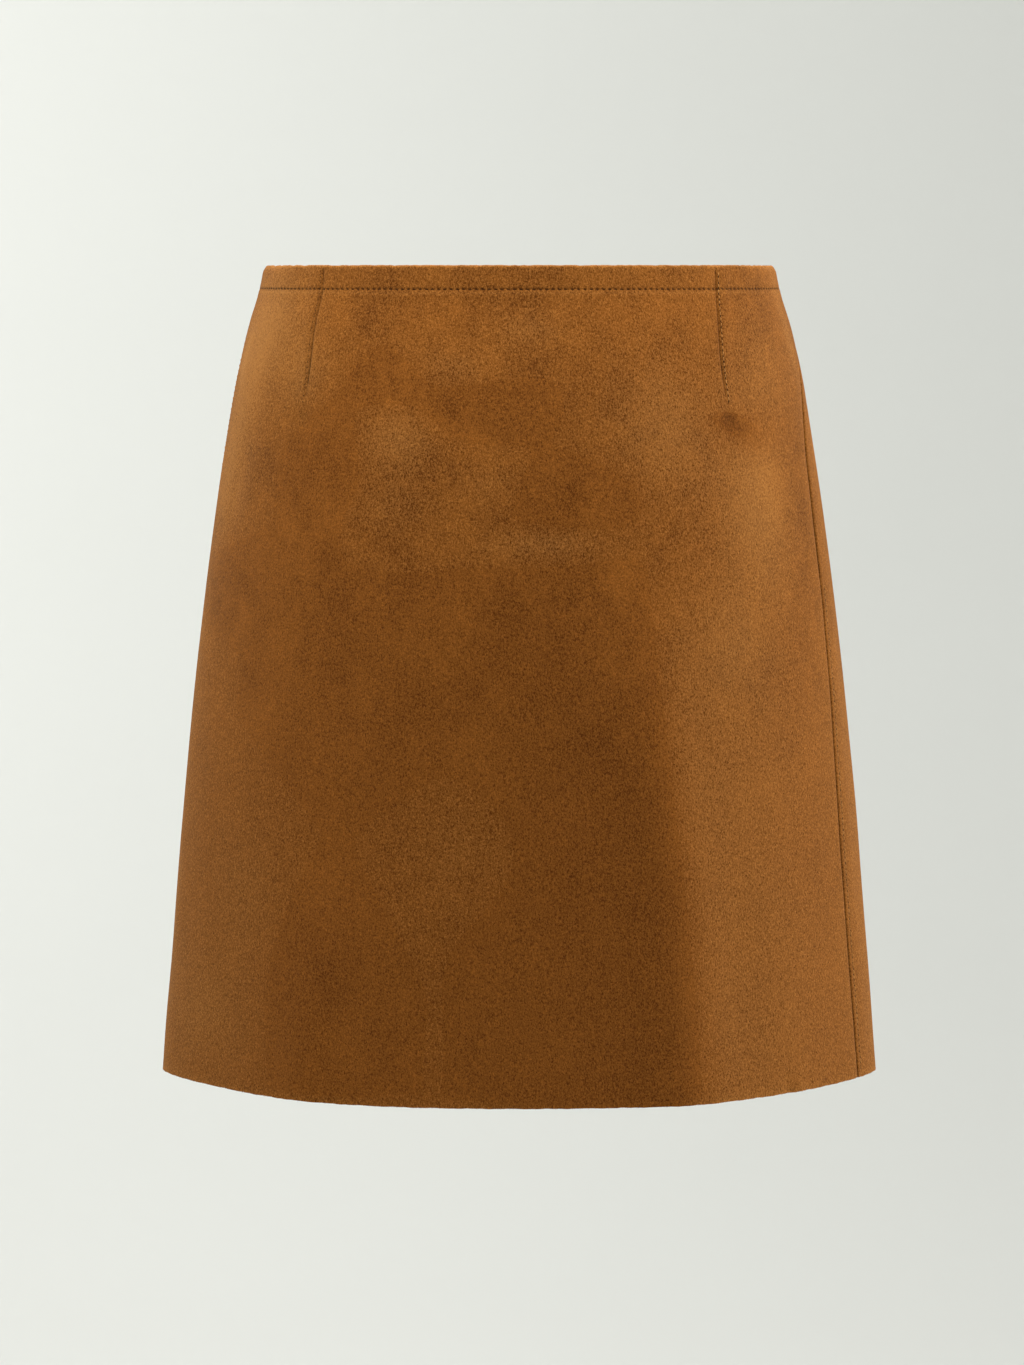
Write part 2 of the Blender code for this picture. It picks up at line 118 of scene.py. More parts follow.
CELL = 0.0023  # the cloth's mesh below the waist stitches
STITCH_DROP = 0.0127  # the row of stitches that holds the turned waist
WAIST_PITCH = 0.0033
SEAM_PITCH = 0.0030  # topstitches of the darts and side seams
SEAM_STITCH = 0.0016  # how much of the pitch the thread shows
THREAD = 0.00021  # radius of the sewing thread
STITCH_FROM_DART = 0.0017
STITCH_FROM_SEAM = 0.0040
BAND = 0.0166  # the finer mesh of the waist ends here
ROLL_RADIUS = SUEDE + GAP / 2  # the waist edge is turned over with this radius
CORNER_EASE = 0.0011  # the waist edge leans in by this at the sides, from CORNER_DROP up
CORNER_DROP = 0.0042
PULL_PRESS = 0.0003  # the end of the zip's pull lies on the cloth and presses it in by this
PULL_END = (0.0075, 0.0300)  # how far that end is behind the seam, and its drop
SEWN_REACH = 0.030  # a seam's or dart's details end this far from it
GROOVE = 0.0010  # depth of a side seam
DART_GROOVE = 0.0006
DART_LIFT = 0.00028  # how far the folded cloth inside lifts a dart's one side
DART_DITCH = 0.00030  # the soft trough along a dart
DIMPLE = 0.00045  # the hollow past a dart's tip
SEAM_LIFT = 0.00020
SEAM_DITCH = 0.00015
DART_HELD = 0.00018  # how far topstitches pull the cloth in
SEAM_HELD = 0.00016
STITCH_DIP = 0.00042  # the same under each stitch of the waist
STITCH_LEAN = 0.12  # their slope on the row
PUCKER = 0.00010  # the swelling between them
BAND_LIFT = 0.00012  # how far the turned edge lifts the waist
LACQUER = 0.00015  # radius of the metal pieces' edges
FIBRE = 0.000045  # radius of a loose fibre
LOOP = 0.00029  # half thickness of a loop of the zip's coil
LOOP_PITCH = 0.00062
LOOP_REACH = (-0.0008, 0.0019)  # from the seam's other side to a loop's root

# Soft creases beside the large folds: where each starts and ends, its height (negative for a
# trough) and its half width in degrees
CREASE_COLUMNS = ("top_drop", "top_angle", "end_drop", "end_angle", "height", "half_width")
CREASES = np.array((
    (0.15, 22.5, 0.48, 28.5, 0.0018, 6),
    (0.24, 36.5, 0.45, 39, -0.0009, 6),
    (0.33, -34, 0.47, -36.5, 0.0008, 3.5),
    (0.3, -52, 0.46, -56, -0.0006, 6),
    (0.415, 46, 0.45, 48.5, -0.0011, 1.6),
    (0.419, 49, 0.45, 51.5, 0.0007, 1.5),
    (0.085, 44, 0.13, 38, -0.0004, 4),
    (0.06, -62, 0.15, -70, -0.0004, 4),
    (0.21, 152, 0.46, 147, 0.0009, 4),
    (0.26, 139, 0.45, 134, -0.0008, 6),
    (0.23, 209, 0.46, 217, 0.0008, 4.5),
    (0.3, 226, 0.45, 231, -0.0007, 6),
    (0.35, 176, 0.46, 172, 0.0006, 4),
    (0.095, 196, 0.15, 188, -0.0004, 5),
    (0.29, 112, 0.46, 110, -0.0006, 5),
    (0.25, 248, 0.45, 252, -0.0006, 5),
))


# ---------------------------------------------------------------- the skirt's surface


def smooth(table, drop, column):
    """A table's column at each drop, on a smooth curve through the table's rows."""
    drops, values = table[:, 0], table[:, column]
    slopes = np.gradient(values, drops)
    i = np.clip(np.searchsorted(drops, drop) - 1, 0, len(drops) - 2)
    step = drops[i + 1] - drops[i]
    t = np.clip((drop - drops[i]) / step, 0.0, 1.0)
    start = (1 + 2 * t) * (1 - t) ** 2 * values[i] + t * (1 - t) ** 2 * step * slopes[i]
    end = t * t * (3 - 2 * t) * values[i + 1] + t * t * (t - 1) * step * slopes[i + 1]
    return start + end


def rows_of(table, columns):
    return [dict(zip(columns, row)) for row in table]


def ramp(value, low, high):
    """0 below low, 1 above high, and a smooth step between."""
    t = np.clip((value - low) / (high - low), 0.0, 1.0)
    return t * t * (3 - 2 * t)


def plateau(value, low, full, end, gone):
    """0 below low and above gone, 1 from full to end, and smooth steps between."""
    return ramp(value, low, full) * (1 - ramp(value, end, gone))


def bell(value, width):
    return np.exp(-((value / width) ** 2))


def line_angle(name, drop):
    return smooth(np.array(LINES[name]), drop, 1)


def section_points(angle, drop):
    """The cut's own points, before folds and detail."""
    angle, drop = np.broadcast_arrays(np.asarray(angle, float), np.asarray(drop, float))
    size = {name: smooth(SECTIONS, drop, k) for k, name in enumerate(SECTION_COLUMNS)}
    turn = np.radians(angle)
    front = np.cos(turn) >= 0
    depth, flat, full = (np.where(front, size["front_" + part], size["back_" + part])
                         for part in ("depth", "flat", "round"))
    s2 = np.sin(turn) ** 2
    fullness = 1 + flat * s2 + (full - 1 - flat) * s2 * s2
    return np.stack((size["half_width"] * np.sin(turn), -depth * np.cos(turn) * fullness, -drop), -1)


def unit(vectors):
    return vectors / np.linalg.norm(vectors, axis=-1, keepdims=True)


def directions(angle, drop):
    """Unit vectors round the skirt, down it and out of it."""
    step_angle, step_drop = 0.2, 0.0005
    round_it = section_points(angle + step_angle, drop) - section_points(angle - step_angle, drop)
    low, high = np.maximum(drop - step_drop, 0.0), np.minimum(drop + step_drop, LENGTH)
    down = section_points(angle, high) - section_points(angle, low)
    return unit(round_it), unit(down), unit(np.cross(down, round_it))


def per_degree(angle, drop):
    """How far one degree is round the cloth, in metres."""
    step = 0.2
    across = section_points(angle + step, drop) - section_points(angle - step, drop)
    return np.linalg.norm(across, axis=-1) / (2 * step)


def around(angle, middle):
    return (angle - middle + 180) % 360 - 180


def from_line(name, angle, drop):
    """The distance round the cloth from a seam or dart, towards growing angles."""
    return around(angle, line_angle(name, drop)) * per_degree(angle, drop)


def beside(name, distance, drop):
    """The angle that lies this far from a seam or dart."""
    angle = line_angle(name, drop)
    return angle + distance / per_degree(angle, drop)


def large_folds(angle, drop):
    total = 0.0
    for fold in rows_of(FOLDS, FOLD_COLUMNS):
        middle = fold["top_angle"] + (fold["hem_angle"] - fold["top_angle"]) * drop / LENGTH
        grown = fold["height"] * ramp(drop, fold["starts"], fold["full"])
        total = total + grown * bell(around(angle, middle), fold["half_width"])
    return total


def creases(angle, drop):
    total = 0.0
    for crease in rows_of(CREASES, CREASE_COLUMNS):
        span = crease["end_drop"] - crease["top_drop"]
        share = (drop - crease["top_drop"]) / span
        middle = crease["top_angle"] + (crease["end_angle"] - crease["top_angle"]) * share
        wander = 0.8 * np.sin(drop * 31 + crease["top_angle"])
        grown = plateau(share, 0.0, 0.55, 0.8, 1.0)
        total = total + crease["height"] * grown * bell(around(angle, middle + wander),
                                                        crease["half_width"])
    return total


WAVE_RNG = np.random.default_rng(11)
WAVES = [(WAVE_RNG.integers(2, 26), WAVE_RNG.uniform(10, 95), WAVE_RNG.uniform(0, 2 * math.pi),
          WAVE_RNG.uniform(0, 2 * math.pi)) for _ in range(16)]


def undulation(angle, drop):
    """The slight unevenness of hanging suede. It closes on itself round the skirt."""
    turn = np.radians(angle)
    total = 0.0
    for turns, rate, start, lean in WAVES:
        total = total + np.sin(turns * turn + start + 0.7 * np.sin(rate * 0.4 * drop)) \
            * np.sin(rate * drop + lean) / math.sqrt(turns)
    return total * 0.00016 * (0.35 + 0.65 * ramp(drop, 0.02, 0.25))


# The length round the waist's stitch row, so that dips and threads share their places
ROW_ANGLES = np.linspace(-110.0, 280.0, 3901)
ROW_STEPS = per_degree(ROW_ANGLES[:-1], STITCH_DROP) * np.diff(ROW_ANGLES)
ROW_LENGTHS = np.concatenate(([0.0], np.cumsum(ROW_STEPS)))

# Each dart and seam, with the side that its folded cloth lies on and how deep the shade painted along
# its line is
DARTS = (("front_dart_right", DART_LENGTH_FRONT, 1, 0.38),
         ("front_dart_left", DART_LENGTH_FRONT, -1, 0.75),
         ("back_dart_right", DART_LENGTH_BACK, -1, 0.5), ("back_dart_left", DART_LENGTH_BACK, 1, 0.6))
SEAMS = (("left_seam", -1, 0.6), ("right_seam", 1, 1.0))


def waist_row(angle, drop):
    """The dips of the waist stitches, and the shade painted in them."""
    away = drop - STITCH_DROP
    along = np.interp(angle, ROW_ANGLES, ROW_LENGTHS) / WAIST_PITCH
    to_stitch = (along - np.floor(along) - 0.5) * WAIST_PITCH
    dip = bell(away - STITCH_LEAN * to_stitch, 0.00050) * bell(to_stitch, 0.00085)
    pucker = bell(away - 0.0016, 0.0009) + 0.6 * bell(away + 0.0015, 0.0008)
    pucker = pucker * np.cos(2 * math.pi * (to_stitch / WAIST_PITCH + 0.5))
    height = PUCKER * pucker - STITCH_DIP * dip - 0.00006 * bell(away, 0.0010)
    # Painted shade along the row where the cloth turns away at the sides
    groove_shade = 0.22 * bell(away, 0.0006) * ramp(np.abs(around(angle, 0)), 36, 62)
    return height, np.clip(0.95 * dip + groove_shade, 0, 1)


def dart_width(share):
    """How wide a dart's folded cloth is, from 0 at its tip to 1 at its top."""
    return DART_AT_TIP + (DART_AT_TOP - DART_AT_TIP) * np.clip(share, 0, 1)


def darts(angle, drop):
    height, painted_shade = 0.0, 0.0
    for name, length, side, shade_strength in DARTS:
        x = from_line(name, angle, np.minimum(drop, length)) * side
        shown = plateau(drop, 0.001, 0.004, 0.72 * length, 1.02 * length)
        near = np.abs(x) < SEWN_REACH
        folded = dart_width(1 - drop / length)
        groove = bell(x, 0.00050)
        lifted = plateau(x, 0.0002, 0.0014, folded, folded + 0.004)
        held = bell(x - STITCH_FROM_DART, 0.0008) * (drop < length + 0.001)
        height = height + near * shown * (DART_LIFT * lifted - DART_GROOVE * groove
                                          - DART_DITCH * bell(x, 0.0026) - DART_HELD * held)
        # Painted shade in the dart's groove, deepest towards its tip, and beside its topstitches
        groove_shade = shade_strength * (0.5 + 0.5 * bell(drop - 0.74 * length, 0.25 * length))
        painted_shade = painted_shade + near * shown * (groove_shade * groove + 0.12 * held)
        tip = bell(x - 0.0012, 0.0045) * bell(drop - length - 0.0030, 0.0042)
        height = height - near * DIMPLE * tip
        # Painted shade in the dimple past the tip
        painted_shade = painted_shade + near * 0.24 * tip
    return height, painted_shade


def side_seams(angle, drop):
    height, painted_shade = 0.0, 0.0
    for name, side, shade_strength in SEAMS:
        x = from_line(name, angle, drop) * side
        near = np.abs(x) < SEWN_REACH
        zipped = (1 - ramp(drop, ZIP_LENGTH - 0.004, ZIP_LENGTH + 0.006)) * (name == "right_seam")
        groove = bell(x, 0.00055 + 0.00040 * zipped)
        lifted, other = (plateau(way * x, 0.0003, 0.0016, ALLOWANCE_WIDTH - 0.001, 0.0155)
                         for way in (1, -1))
        held = bell(x - STITCH_FROM_SEAM, 0.0009) * (1 - zipped)
        height = height + near * (SEAM_LIFT * (lifted + 0.5 * other * zipped) - GROOVE * groove
                                  - SEAM_DITCH * bell(x, 0.0026) - SEAM_HELD * held)
        # Painted shade in the seam's groove and beside its topstitches
        painted_shade = painted_shade + near * (shade_strength * groove + 0.1 * held)
    return height, painted_shade


def under_pull(angle, drop):
    """How far the cloth is pushed in under the end of the zip's pull."""
    away = from_line("right_seam", angle, drop) - PULL_END[0]
    return PULL_PRESS * bell(away, 0.004) * bell(drop - PULL_END[1], 0.005)


def relief(angle, drop, inside_out=False):
    """How far the folds and the details move the cloth out, and the shade painted on it in grooves and
    dips, from 0 to 1.
    """
    row, row_shade = waist_row(angle, drop)
    dart, dart_shade = darts(angle, drop)
    seam, seam_shade = side_seams(angle, drop)
    band = BAND_LIFT * (1 - ramp(drop, TURNING_DEPTH - 0.001, TURNING_DEPTH + 0.003))
    height = large_folds(angle, drop) + creases(angle, drop) + undulation(angle, drop)
    eased = (1 - ramp(drop, 0.0, CORNER_DROP)) * ramp(np.abs(np.sin(np.radians(angle))), 0.85, 1.0)
    height = height - CORNER_EASE * eased - under_pull(angle, drop)
    sewn = row + dart + seam + band
    return height + (-0.4 * sewn if inside_out else sewn), row_shade + dart_shade + seam_shade


def cloth(angle, drop, offset=0.0, inside_out=False):
    """Points of the detailed cloth, moved out by offset."""
    angle, drop = np.broadcast_arrays(np.asarray(angle, float), np.asarray(drop, float))
    height = relief(angle, np.clip(drop, 0, LENGTH), inside_out)[0] + offset
    return section_points(angle, drop) + directions(angle, drop)[2] * height[..., None]


# ---------------------------------------------------------------- materials


class Material:
    """A material made of nodes. A value may be a number, a colour or another node's output."""

    def __init__(self, name):
        self.made = bpy.data.materials.new(name)
        self.made.use_nodes = True
        self.tree = self.made.node_tree
        self.tree.nodes.clear()
        self.output = self.add("ShaderNodeOutputMaterial")
        self.shader = self.add("ShaderNodeBsdfPrincipled")
        self.tree.links.new(self.shader.outputs[0], self.output.inputs["Surface"])

    def add(self, kind, values=None, **settings):
        node = self.tree.nodes.new(kind)
        for name, value in settings.items():
            setattr(node, name, value)
        for name, value in (values or {}).items():
            self.set(node, name, value)
        return node

    def set(self, node, name, value):
        socket = node.inputs[name]
        if isinstance(value, bpy.types.NodeSocket):
            self.tree.links.new(value, socket)
        else:
            socket.default_value = (*value, 1.0) if socket.type == "RGBA" else value

    def place(self, scale=(1, 1, 1), turn=(0, 0, 0)):
        """Object coordinates in metres, stretched and turned."""
        coordinates = self.add("ShaderNodeTexCoord").outputs["Object"]
        return self.add("ShaderNodeMapping", {"Vector": coordinates, "Scale": scale,
                                              "Rotation": turn}).outputs[0]

    def noise(self, size, detail=2.0, roughness=0.5, distortion=0.0, stretch=(1, 1, 1)):
        """Noise of this size in metres, from 0 to 1."""
        values = {"Vector": self.place(stretch), "Scale": 1.0 / size, "Detail": detail,
                  "Roughness": roughness, "Distortion": distortion}
        return self.add("ShaderNodeTexNoise", values).outputs["Fac"]

    def waves(self, rate, distortion, turn=(0, 0, 0), **settings):
        values = {"Vector": self.place(turn=turn), "Scale": rate, "Distortion": distortion,
                  "Detail": 1.0}
        return self.add("ShaderNodeTexWave", values, **settings).outputs["Fac"]

    def math(self, operation, first, second=0.0, third=0.0):
        node = self.add("ShaderNodeMath", operation=operation)
        for number, value in enumerate((first, second, third)):
            self.set(node, number, value)
        return node.outputs[0]

    def swing(self, start, *parts):
        """start plus each noise about its middle, times its weight."""
        for noise, weight in parts:
            middled = self.math("SUBTRACT", noise, 0.5)
            start = self.math("MULTIPLY_ADD", middled, weight, start)
        return start

    def spread(self, value, low, high, to_low, to_high):
        values = {"Value": value, "From Min": low, "From Max": high, "To Min": to_low,
                  "To Max": to_high}
        return self.add("ShaderNodeMapRange", values).outputs[0]

    def mix(self, share, first, second):
        node = self.add("ShaderNodeMix", data_type="RGBA")
        for number, value in ((0, share), (6, first), (7, second)):
            self.set(node, number, value)
        return node.outputs[2]

    def bright(self, colour, value):
        """The colour times a number."""
        node = self.add("ShaderNodeVectorMath", {0: colour}, operation="SCALE")
        self.set(node, "Scale", value)
        return node.outputs[0]

    def attribute(self, name):
        return self.add("ShaderNodeAttribute", attribute_name=name).outputs["Fac"]

    def bump(self, height, distance, strength=1.0, below=None):
        values = {"Height": height, "Distance": distance, "Strength": strength}
        if below is not None:
            values["Normal"] = below
        return self.add("ShaderNodeBump", values).outputs[0]

    def finish(self, colour, normal, roughness, specular=0.5, sheen=None, metallic=0.0, coat=None):
        """The shader's own values. sheen and coat are each a weight and a roughness."""
        values = {"Base Color": colour, "Roughness": roughness, "Specular IOR Level": specular,
                  "Metallic": metallic}
        if normal is not None:
            values["Normal"] = normal
        if sheen:
            values.update({"Sheen Weight": sheen[0], "Sheen Roughness": sheen[1],
                           "Sheen Tint": SHEEN_TINT})
        if coat:
            values.update({"Coat Weight": coat[0], "Coat Roughness": coat[1]})
        for name, value in values.items():
            self.set(self.shader, name, value)
        return self.made


SUEDE_DEEP = (0.085, 0.0225, 0.0022)
SUEDE_PALE = (0.345, 0.1190, 0.0165)
# The pale colour of painted sheen, mixed in where the marks are above 0
BRUSHED_SHEEN = (0.430, 0.1900, 0.0480)
FLESH_DEEP = (0.200, 0.084, 0.0230)
FLESH_PALE = (0.330, 0.160, 0.0560)
SHEEN_TINT = (1.0, 0.55, 0.20)
SUEDE_SHINE = 0.08


def suede_material():
    """The napped face: short fibres and brushed patches, with painted shade in its grooves and dips,
    and lighter and darker marks that are partly painted sheen and shade.
    """
    m = Material("suede_nap")
    grain = m.noise(0.0016, 3.0, 0.85)
    fibre = m.noise(0.0007, 2.0, 0.9, stretch=(1, 1, 0.6))
    cloud = m.noise(0.040, 3.0, 0.5, 0.5, stretch=(1, 1, 0.8))
    brushed = m.noise(0.013, 4.0, 0.60, 0.9, stretch=(1, 1, 0.7))
    nap_and_painted_light = m.attribute("nap_and_painted_light")
    speckle = m.swing(0.0, (grain, 0.68), (fibre, 2.3))
    mottle = m.swing(0.0, (cloud, 0.60), (brushed, 0.50))
    share = m.math("MULTIPLY_ADD", mottle, m.attribute("mottle"), 0.46)
    # Marks below 0 darken the colour: brushed tone together with painted shade
    share = m.math("MULTIPLY_ADD", m.math("MINIMUM", nap_and_painted_light, 0.0), 0.45, m.math("ADD", share, speckle))
    colour = m.mix(share, SUEDE_DEEP, SUEDE_PALE)
    # Marks above 0 mix in the pale colour of painted sheen
    lifted = m.math("MULTIPLY_ADD", speckle, 0.6, m.math("MAXIMUM", nap_and_painted_light, 0.0))
    lifted = m.math("MULTIPLY", lifted, m.math("GREATER_THAN", nap_and_painted_light, 0.0))
    colour = m.mix(lifted, colour, BRUSHED_SHEEN)
    painted_shade = m.attribute("painted_shade")
    # Painted shade in grooves, stitch dips and dimples darkens the colour, down to 0.16 of it
    colour = m.bright(colour, m.spread(painted_shade, 0.0, 1.0, 1.0, 0.16))
    fine = m.bump(fibre, 0.0005, 0.5)
    normal = m.bump(grain, 0.0006, 0.5, fine)
    return m.finish(colour, normal, 0.92, SUEDE_SHINE, sheen=(0.16, 0.42))


def flesh_material():
    """The flesh side, inside: coarser and a little lighter, with longer loose fibres."""
    m = Material("suede_flesh")
    grain = m.noise(0.0016, 5.0, 0.75)
    fibre = m.noise(0.0010, 4.0, 0.7, 0.4, stretch=(1, 1, 0.5))
    cloud = m.noise(0.028, 4.0, 0.6, 0.7)
    share = m.swing(m.math("MULTIPLY", grain, 0.9), (fibre, 0.8), (cloud, 0.6))
    colour = m.mix(share, FLESH_DEEP, FLESH_PALE)
    normal = m.bump(grain, 0.0009, 0.6, m.bump(fibre, 0.0005, 0.6))
    return m.finish(colour, normal, 0.97, SUEDE_SHINE, sheen=(0.25, 0.5))


def edge_material():
    """The raw cut through the suede, and its loose fibres."""
    m = Material("suede_cut")
    grain = m.noise(0.0006, 4.0, 0.7)
    layers = m.noise(0.0025, 2.0, 0.6, stretch=(1, 1, 4))
    share = m.swing(grain, (layers, 0.8))
    colour = m.mix(share, (0.22, 0.088, 0.022), (0.36, 0.165, 0.055))
    return m.finish(colour, m.bump(grain, 0.0004, 0.7), 0.95, SUEDE_SHINE, sheen=(0.3, 0.45))


def thread_material(name, deep, pale):
    """Twisted polyester thread. Each stitch has its own tone."""
    m = Material(name)
    twist = m.waves(900.0, 2.0, (0.6, 0.5, 0.3))
    share = m.math("MULTIPLY_ADD", twist, 0.35, m.math("MULTIPLY", m.attribute("tone"), 0.75))
    colour = m.mix(share, deep, pale)
    return m.finish(colour, m.bump(twist, 0.00008, 0.8), 0.75, 0.06)


def tape_material():
    """The zip's woven tape, with fine ribs along it."""
    m = Material("zip_tape_weave")
    ribs = m.waves(700.0, 0.6, bands_direction="Z")
    cross = m.waves(520.0, 0.8, bands_direction="Y")
    weave = m.math("MULTIPLY", ribs, cross)
    share = m.math("MULTIPLY_ADD", m.noise(0.004, 3.0, 0.6), 0.5, m.math("MULTIPLY", weave, 0.7))
    colour = m.mix(share, (0.075, 0.030, 0.009), (0.165, 0.074, 0.026))
    return m.finish(colour, m.bump(weave, 0.00015, 0.8), 0.8, 0.25, sheen=(0.2, 0.5))


def coil_material():
    m = Material("zip_coil_nylon")
    grain = m.noise(0.0012, 2.0, 0.5)
    colour = m.mix(grain, (0.080, 0.032, 0.010), (0.140, 0.062, 0.022))
    return m.finish(colour, m.bump(grain, 0.00005, 0.5), 0.38, coat=(0.1, 0.3))


def metal_material():
    """Brown lacquer over zinc, rubbed a little where hands touch it."""
    m = Material("zip_metal_lacquer")
    wear = m.spread(m.noise(0.0018, 4.0, 0.65, 0.3), 0.45, 0.72, 0.0, 1.0)
    fine = m.noise(0.00035, 2.0, 0.5)
    colour = m.mix(wear, (0.150, 0.078, 0.030), (0.300, 0.190, 0.100))
    rough = m.spread(fine, 0.3, 0.7, 0.24, 0.40)
    return m.finish(colour, m.bump(fine, 0.00002, 0.4), rough, metallic=0.75, coat=(0.35, 0.2))


NAP = suede_material()
FLESH = flesh_material()
CUT = edge_material()
THREAD_WAIST_SHADED, THREAD_TOP, THREAD_SOFT, HOLE_SHADE = (thread_material(*row) for row in (
    # The waist thread's near black colour is painted shade of the dips it lies in
    ("thread_sunk_shaded", (0.022, 0.007, 0.0016), (0.070, 0.024, 0.005)),
    ("thread_top", (0.300, 0.125, 0.026), (0.620, 0.320, 0.095)),
    ("thread_soft", (0.130, 0.045, 0.008), (0.300, 0.120, 0.026)),
    # A near black colour: painted shade in each needle hole
    ("needle_hole_shade", (0.012, 0.0035, 0.0008), (0.030, 0.010, 0.002)),
))
WEAVE = tape_material()
NYLON = coil_material()
METAL = metal_material()


# ---------------------------------------------------------------- meshes


def linked(name, data):
    """A new object of the scene."""
    made = bpy.data.objects.new(name, data)
    bpy.context.scene.collection.objects.link(made)
    return made


def add_mesh(name, points, faces, materials, kinds, values):
    """A smooth mesh piece of the skirt. kinds are its faces' materials by number, and values its
    point attributes."""
    mesh = bpy.data.meshes.new(name)
    mesh.from_pydata(np.asarray(points, float).reshape(-1, 3).tolist(), [], faces)
    for made in materials:
        mesh.materials.append(made)
    mesh.polygons.foreach_set("material_index", np.asarray(kinds, np.int32))
    for attribute, numbers in values.items():
        made = mesh.attributes.new(attribute, "FLOAT", "POINT")
        made.data.foreach_set("value", np.asarray(numbers, np.float32).ravel())
    mesh.shade_smooth()
    mesh.set_sharp_from_angle(angle=math.radians(55))
    mesh.validate()
    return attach(linked(name, mesh), "skirt")


CUT_EDGE = 2  # the number of a shell's third material


def quads(grid):
    """The quads of a grid of point numbers. Their normals point out where rows run down."""
    corners = (grid[:-1, :-1], grid[1:, :-1], grid[1:, 1:], grid[:-1, 1:])
    return np.stack([corner.ravel() for corner in corners], -1).tolist()


def numbered(grid, start=0):
    """A grid's point numbers."""
    return np.arange(start, start + grid.shape[0] * grid.shape[1]).reshape(grid.shape[:2])


def rim(faces, kinds, near, far, flip, places=None):
    """Adds the cut edge between two faces of a shell. places says which near points the far ones
    lie across from."""
    places = range(len(far)) if places is None else places
    for k in range(len(far) - 1):
        face = [*near[places[k]:places[k + 1] + 1].tolist(), int(far[k + 1]), int(far[k])]
        faces.append(face[::-1] if flip else face)
        kinds.append(CUT_EDGE)


def spaced(start, end, step):
    """Numbers from start to end, about this far apart."""
    count = max(int(math.ceil(abs(end - start) / step)), 1)
    return np.linspace(start, end, count + 1)


# How far a panel's first columns are from a seam, and from a dart to each side
SEAM_COLUMNS = (0.00003, 0.0004, 0.0009, 0.0016, 0.0026, 0.0040, 0.0058)
DART_COLUMNS = (0.0, 0.0005, 0.0010, 0.0018, 0.0027, 0.0034, 0.0045, 0.0065)


# Each panel's first seam, its darts, its last seam, and the turn that is added there
PANELS = {"front": ("left_seam", ("front_dart_left", "front_dart_right"), "right_seam", 0),
          "back": ("right_seam", ("back_dart_right", "back_dart_left"), "left_seam", 360)}


def station_columns(side, drop):
    """The angles of a panel's columns at each drop: close together beside seams and darts."""
    first, names, last, turn = PANELS[side]
    parted = PARTED * (1 - ramp(drop, *PARTED_UNTIL))
    near_dart = (*(-x for x in DART_COLUMNS[:0:-1]), *DART_COLUMNS)

    def near_seam(name, way):
        apart = parted if name == "right_seam" else 0
        return [beside(name, way * (x + apart), drop) for x in SEAM_COLUMNS]

    groups = [near_seam(first, 1), *([beside(name, x, drop) for x in near_dart] for name in names),
              [angle + turn for angle in near_seam(last, -1)[::-1]]]
    columns = list(groups[0])
    for group in groups[1:]:
        widest = np.max((group[0] - columns[-1]) * per_degree(columns[-1], drop))
        count = 2 * max(int(round(widest / CELL / 2)), 1)
        start = columns[-1]
        columns += [start + (group[0] - start) * k / count for k in range(1, count)]
        columns += group
    if len(columns) % 2 == 0:
        columns.insert(1, (columns[0] + columns[1]) / 2)
    return np.stack(columns, -1)


def ripples(angle, waves):
    """The sum of waves round the skirt, given as size, turns and start."""
    return sum(size * np.sin(np.radians(angle) * turns + start) for size, turns, start in waves)


def soft_noise(rng, count, reach):
    """Noise for a row of points, smoothed over reach points, about -1 to 1."""
    raw = rng.normal(size=count + 4 * reach)
    kernel = np.hanning(2 * reach + 1)
    smooth_row = np.convolve(raw, kernel / np.sqrt((kernel ** 2).sum()), "same")
    return smooth_row[2 * reach:2 * reach + count]


# The unevenness of the waist edge and of the raw cut at the hem: size, turns and start
WAIST_WAVES = ((0.00022, 19, 1), (0.00018, 43, 0), (0.00010, 97, 2))
HEM_WAVES = ((0.00010, 61, 0), (0.00006, 149, 1), (0.00005, 331, 2))

# The drops of the finer rows: up to the rolled edge outside, and down from it inside
OUTER_ROWS = (0.0158, 0.0151, 0.0145, 0.0140, 0.0136, 0.0132, 0.0129, 0.0126, 0.0123, 0.0119,
              0.0115, 0.0110, 0.0104, 0.0094, 0.0080, 0.0064, 0.0048, 0.0034, 0.0023)
INNER_ROWS = (0.0026, 0.0042, 0.0062, 0.0084, 0.0102, 0.0112, 0.0118, 0.0123, 0.0127, 0.0131,
              0.0136, 0.0143, 0.0154, 0.0170)


def panel_rows(below, radius):
    """The drops and offsets of a panel's rows, from its hem up, over the edge that is rolled with
    this radius, and down inside. below are the drops under the waist."""
    turns = np.radians(np.linspace(0, 180, 11))
    drops = np.concatenate((below, OUTER_ROWS, ROLL_RADIUS - radius * np.sin(turns), INNER_ROWS))
    offsets = np.concatenate((np.full(len(below) + len(OUTER_ROWS), radius), radius * np.cos(turns),
                              np.full(len(INNER_ROWS), -radius)))
    return drops, offsets - ROLL_RADIUS
